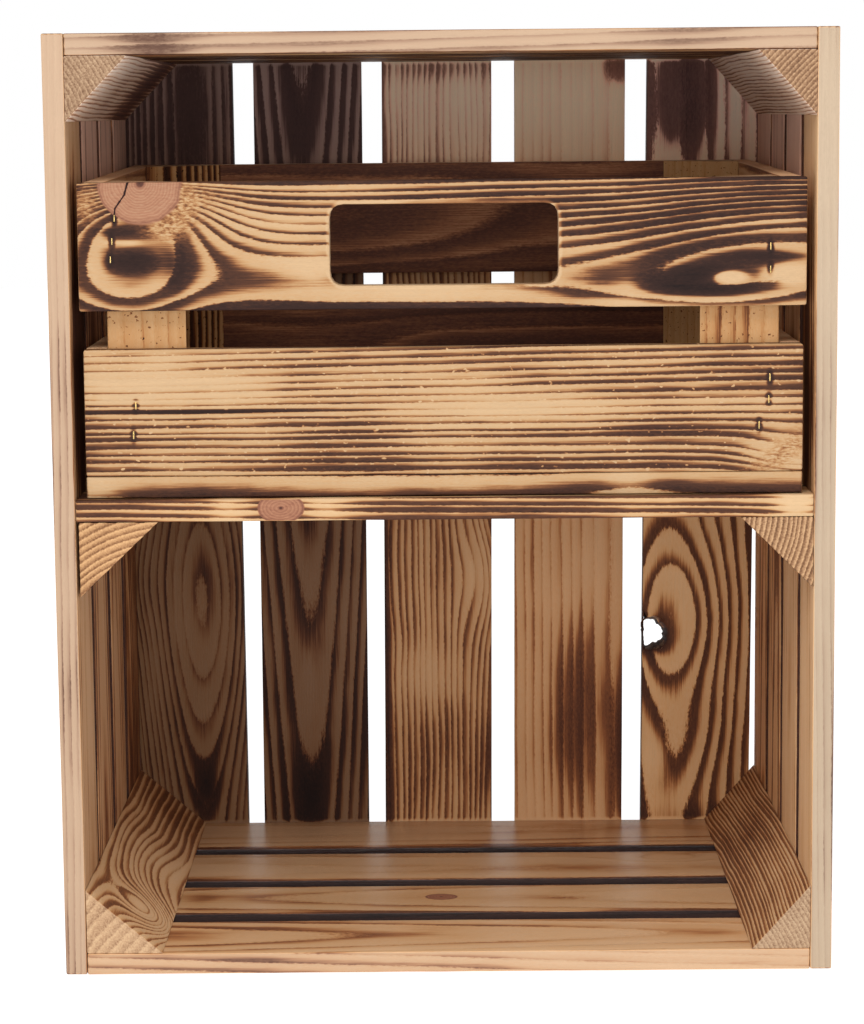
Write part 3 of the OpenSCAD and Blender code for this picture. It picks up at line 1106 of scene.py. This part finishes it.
def side_panels():
    for side, grains in side_grains().items():
        for i, grain in enumerate(grains):
            board(f"side_{side}_board_{i + 1}", "zyx", "crate", grain)


def end_panels():
    for level, grains in (("bottom", floor_grains()), ("top", top_grains())):
        for i, grain in enumerate(grains):
            board(f"{level}_board_{i + 1}", "xyz", "crate", grain)


def corner_posts():
    grains = post_grains()
    for level, sw in (("bottom", -1), ("top", 1)):
        for side, sv in SIDES:
            post(f"corner_post_{level}_{side}", "yxz", "crate",
                 grains[level, side], (sv, sw))


# How far the top of each back slat stands to the right of its foot
SLAT_LEANS = (-2, 1, 3, 2.5, 4)

# The hole left by a loose knot in the right-hand slat: its middle, its radius every 30 degrees
# from +v towards +u, and how much wider it is at the front
KNOT_U, KNOT_V = -120, -28.2
KNOT_RADII = (6.0, 6.3, 5.9, 8.2, 9.8, 6.5, 6.0, 6.2, 9.2, 6.0, 6.2, 6.8)
KNOT_FLARE = (2.9, 4.2, 4.9, 4.5, 2.0, 0.5, 0.2, 0.4, 1.0, 3.2, 2.6, 2.4)

# Where the right-hand slat's edge bends behind the drawer, to close the gap above it
HIDDEN_KINKS = ((125, 0.1), (50, 1.6))

# How many points go round the knot hole
KNOT_POINTS = 48


def around(values, turn):
    """Smoothly goes round a ring of values. turn is 0 at the first and 1 back at the first."""
    place = turn * len(values)
    first = int(place)
    blend = (1 - math.cos(math.pi * (place - first))) / 2
    low = values[first % len(values)]
    high = values[(first + 1) % len(values)]
    return low + (high - low) * blend


def knot_hole():
    """The ragged knot hole's points, clockwise in u and v, and its flare at each."""
    points = []
    flare = []
    for k in range(KNOT_POINTS):
        turn = k / KNOT_POINTS
        angle = 2 * math.pi * turn
        radius = around(KNOT_RADII, turn) + 0.25 * math.sin(9 * angle) + 0.2 * math.sin(14 * angle)
        points.append(Vector((
            KNOT_U + radius * math.sin(angle), KNOT_V + radius * math.cos(angle),
        )))
        flare.append(around(KNOT_FLARE, turn))
    return points, flare


def back_slats():
    for i, (lean, grain) in enumerate(zip(SLAT_LEANS, back_slat_grains())):
        holes = []
        flares = []
        kinks = ()
        if i == 4:
            hole, flare = knot_hole()
            holes.append(hole)
            flares.append(flare)
            kinks = HIDDEN_KINKS
        board(f"back_slat_{i + 1}", "zxy", "crate", grain,
              lean=lean, kinks=kinks, holes=holes, flares=flares)


def shelf():
    for i, grain in enumerate(shelf_grains()):
        board(f"shelf_board_{i + 1}", "xyz", "crate", grain)
    for side, sv in SIDES:
        post(f"shelf_rail_{side}", "yxz", "crate",
             rail_grains()[side], (sv, 1))


# ---------------- the drawer

# Width, height, corner radius and middle of the hand hole
HAND_HOLE = (119, 42, 7.5, (1, 0))

# How much higher the drawer's rear stands than its front at the top
DRAWER_RISE = 4


def drawer():
    for level, grain in drawer_front_grains().items():
        node = f"drawer_front_{level}"
        slotted = HAND_HOLE if level == "upper" else None
        grain = replace(grain, patches=grain.patches + painted_staple_shadows(node))
        board(node, "xzy", "drawer", grain, slotted=slotted)
    for node, (axes, grain) in drawer_grains().items():
        lean = DRAWER_RISE if node in ("drawer_left_upper", "drawer_right_upper") else 0
        board(node, axes, "drawer", grain, lean=lean)
    for end, sw in (("front", -1), ("back", 1)):
        for side, sv in SIDES:
            post(f"drawer_post_{end}_{side}", "zxy", "drawer",
                 drawer_post_grains()[end, side], (sv, sw))


def painted_staple_shadows(node):
    """Dark spots in a drawer front board round the staples shot through it: painted shadows."""
    middle, _, (hu, hv, _) = axes_box(node, "xzy")
    staple_shadow_spots = []
    for corners in islands(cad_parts["staples_drawer_front"].data):
        low, high = extent(corners)
        place = (low + high) / 2 - middle
        if abs(place.x) < hu and abs(place.z) < hv:
            size = (high - low) / 2
            staple_shadow_spots.append(Spot(place.x, place.z, size.x + 1.3, size.z + 1.3, 0.6, crisp=True))
    return tuple(staple_shadow_spots)


# ---------------- staples

# How fine the marks on the wire are
MARKS_PER_M = 900.0

# The wire's bends, the corners of its section, and its share of the CAD staple's thickness
BEND_RADIUS = 0.8
BEND_ANGLES = (0, 0.5, 1.05, math.pi / 2)
WIRE_CORNERS = 8
WIRE_SHARE = 0.98


def metal(name, dull, bright, rough):
    """Drawn wire with fine scratches and tarnish."""
    material, tree, shader = new_material(name)
    place = tree.nodes.new("ShaderNodeTexCoord")
    marks = [along * MARKS_PER_M for along in parts(Value(tree, place.outputs["Object"]))]
    spot, _ = cloud(marks, 3, 3.0, 0.6)
    feed(shader.inputs["Base Color"], ramp(spot + 0.5, ((0.3, dull), (0.6, bright))))
    shader.inputs["Metallic"].default_value = 1.0
    feed(shader.inputs["Roughness"], spot * 0.3 + rough)
    return material


def islands(mesh):
    """The vertex positions of each separate solid in a mesh, in millimetres."""
    build = bmesh.new()
    build.from_mesh(mesh)
    bmesh.ops.remove_doubles(build, verts=build.verts, dist=1e-6)
    seen = set()
    found = []
    for start in build.verts:
        if start in seen:
            continue
        seen.add(start)
        stack = [start]
        island = []
        while stack:
            vert = stack.pop()
            island.append(vert.co / MM)
            for edge in vert.link_edges:
                other = edge.other_vert(vert)
                if other not in seen:
                    seen.add(other)
                    stack.append(other)
        found.append(island)
    build.free()
    return found


def extent(corners):
    """The lowest and highest corner of a box around points."""
    low = Vector([min(c[k] for c in corners) for k in range(3)])
    high = Vector([max(c[k] for c in corners) for k in range(3)])
    return low, high


def wire_staple(build, corners):
    """Adds one bent-wire staple that fills the place of a CAD staple's corners."""
    low, high = extent(corners)
    size = high - low
    leg, crown, thin = sorted(range(3), key=lambda k: -size[k])
    at_low = sum(1 for c in corners if abs(c[leg] - low[leg]) < 0.01)
    at_high = sum(1 for c in corners if abs(c[leg] - high[leg]) < 0.01)
    inward_sign = 1 if at_low < at_high else -1
    top = low[leg] if inward_sign > 0 else high[leg]
    wire = size[thin] / 2
    half = size[crown] / 2 - wire
    bends = [(BEND_RADIUS * (1 - math.cos(a)), BEND_RADIUS * (1 - math.sin(a)))
             for a in BEND_ANGLES]
    path = [(-half, size[leg])]
    path += [(-half + across, wire + deep) for across, deep in bends]
    path += [(half - across, wire + deep) for deep, across in bends]
    path.append((half, size[leg]))
    middle_crown = (low[crown] + high[crown]) / 2
    middle_thin = (low[thin] + high[thin]) / 2
    rings = []
    for i, (a, d) in enumerate(path):
        before = path[max(0, i - 1)]
        after = path[min(len(path) - 1, i + 1)]
        tangent = Vector((after[0] - before[0], after[1] - before[1])).normalized()
        normal = Vector((-tangent.y, tangent.x))
        ring = []
        for k in range(WIRE_CORNERS):
            angle = 2 * math.pi * (k + 0.5) / WIRE_CORNERS
            square = 0.5 / max(abs(math.cos(angle)), abs(math.sin(angle))) + 0.5
            out = wire * WIRE_SHARE * square * math.cos(angle)
            aside = wire * WIRE_SHARE * square * math.sin(angle)
            point = Vector((0, 0, 0))
            point[crown] = middle_crown + a + normal.x * out
            point[leg] = top + inward_sign * (d + normal.y * out)
            point[thin] = middle_thin + aside
            ring.append(build.verts.new(point * MM))
        rings.append(ring)
    for first, second in zip(rings, rings[1:]):
        for k in range(WIRE_CORNERS):
            j = (k + 1) % WIRE_CORNERS
            build.faces.new((first[k], first[j], second[j], second[k]))
    build.faces.new(rings[0])
    build.faces.new(rings[-1])


def staples():
    steel = metal("staple_zinc", (122.2, 117.9, 109.3), (176, 170, 158), 0.35)
    brassy = metal("staple_brassy", (158.1, 132.3, 82.1), (226, 190, 120), 0.28)
    for name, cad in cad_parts.items():
        if not name.startswith("staples"):
            continue
        build = bmesh.new()
        for corners in islands(cad.data):
            wire_staple(build, corners)
        piece = finished_object(name + "_wire", build)
        front = name == "staples_drawer_front"
        body = "drawer" if "drawer" in name else "crate"
        finish_piece(piece, name, body, brassy if front else steel)


# ---------------- camera, light and floor

# The camera's place, its yaw, pitch and roll in degrees, and its sensor and lens
VIEWPOINT_M = (0.0016, cad_low.y - 1.5086, 0.4588)
VIEW_TURNS = (-0.31, 7.89, -0.54)
SENSOR_MM = 36
FOCAL_LENGTH_MM = 2897.0 / 1024 * SENSOR_MM

# How far the floor reaches, and how far it lies under the crate
FLOOR_REACH_M = 6.0
FLOOR_DROP_M = 0.0004

# How much light the floor gives back, and how much it gives off
FLOOR_GREY = 0.5
FLOOR_GLOW = 0.83

# The lights' places and targets in metres, their sides in metres and their power in watts
LIGHTS = {
    "key": ((-0.35, -1.7, 1.85), (0, 0, 0.2), (1.0, 1.0), 25),
    "fill": ((0.3, -2.6, 0.45), (0, 0, 0.25), (1.2, 1.2), 20),
}


def camera():
    """A long lens in front of the crate, a little above its middle and looking slightly down."""
    yaw, pitch, roll = (math.radians(a) for a in VIEW_TURNS)
    level = Matrix(((1, 0, 0), (0, 0, -1), (0, 1, 0)))
    turned = Matrix.Rotation(roll, 3, "Z") @ Matrix.Rotation(pitch, 3, "X")
    right, down, ahead = turned @ Matrix.Rotation(-yaw, 3, "Y") @ level
    lens = bpy.data.cameras.new("camera")
    lens.sensor_width = SENSOR_MM
    lens.lens = FOCAL_LENGTH_MM
    lens.clip_end = 50
    item = bpy.data.objects.new("camera", lens)
    bpy.context.scene.collection.objects.link(item)
    turn = Matrix((right, -down, -ahead)).transposed().to_4x4()
    item.matrix_world = Matrix.Translation(VIEWPOINT_M) @ turn
    bpy.context.scene.camera = item


def area_light(name, place, target, size, power):
    data = bpy.data.lights.new(name, "AREA")
    data.shape = "RECTANGLE"
    data.size, data.size_y = size
    data.energy = power
    item = bpy.data.objects.new(name, data)
    item.location = place
    aim = Vector(target) - Vector(place)
    item.rotation_euler = aim.to_track_quat("-Z", "Y").to_euler()
    bpy.context.scene.collection.objects.link(item)


# How bright the white room is to the camera, and how much of it lights the crate
BACKDROP = 1.0
AMBIENT = 0.58


def white_room():
    """A world that is pure white to look at and lights the crate softly from all round."""
    world = bpy.data.worlds.new("studio")
    world.use_nodes = True
    tree = world.node_tree
    background = tree.nodes["Background"]
    background.inputs["Color"].default_value = (1, 1, 1, 1)
    path = tree.nodes.new("ShaderNodeLightPath")
    seen = Value(tree, path.outputs["Is Camera Ray"])
    feed(background.inputs["Strength"], seen * (BACKDROP - AMBIENT) + AMBIENT)
    bpy.context.scene.world = world
    bpy.context.scene.view_settings.view_transform = "Standard"


def white_floor():
    """A floor under the crate that is as white as the room."""
    build = bmesh.new()
    bmesh.ops.create_grid(build, x_segments=1, y_segments=1, size=FLOOR_REACH_M)
    floor = finished_object("floor", build)
    floor.location.z = cad_low.z - FLOOR_DROP_M
    material, _, shader = new_material("white_floor")
    shader.inputs["Base Color"].default_value = (FLOOR_GREY, FLOOR_GREY, FLOOR_GREY, 1)
    shader.inputs["Roughness"].default_value = 1.0
    shader.inputs["Emission Color"].default_value = (1, 1, 1, 1)
    shader.inputs["Emission Strength"].default_value = FLOOR_GLOW
    floor.data.materials.append(material)


def studio():
    white_room()
    white_floor()
    for name, settings in LIGHTS.items():
        area_light(name, *settings)


camera()
studio()
side_panels()
end_panels()
corner_posts()
back_slats()
shelf()
drawer()
staples()
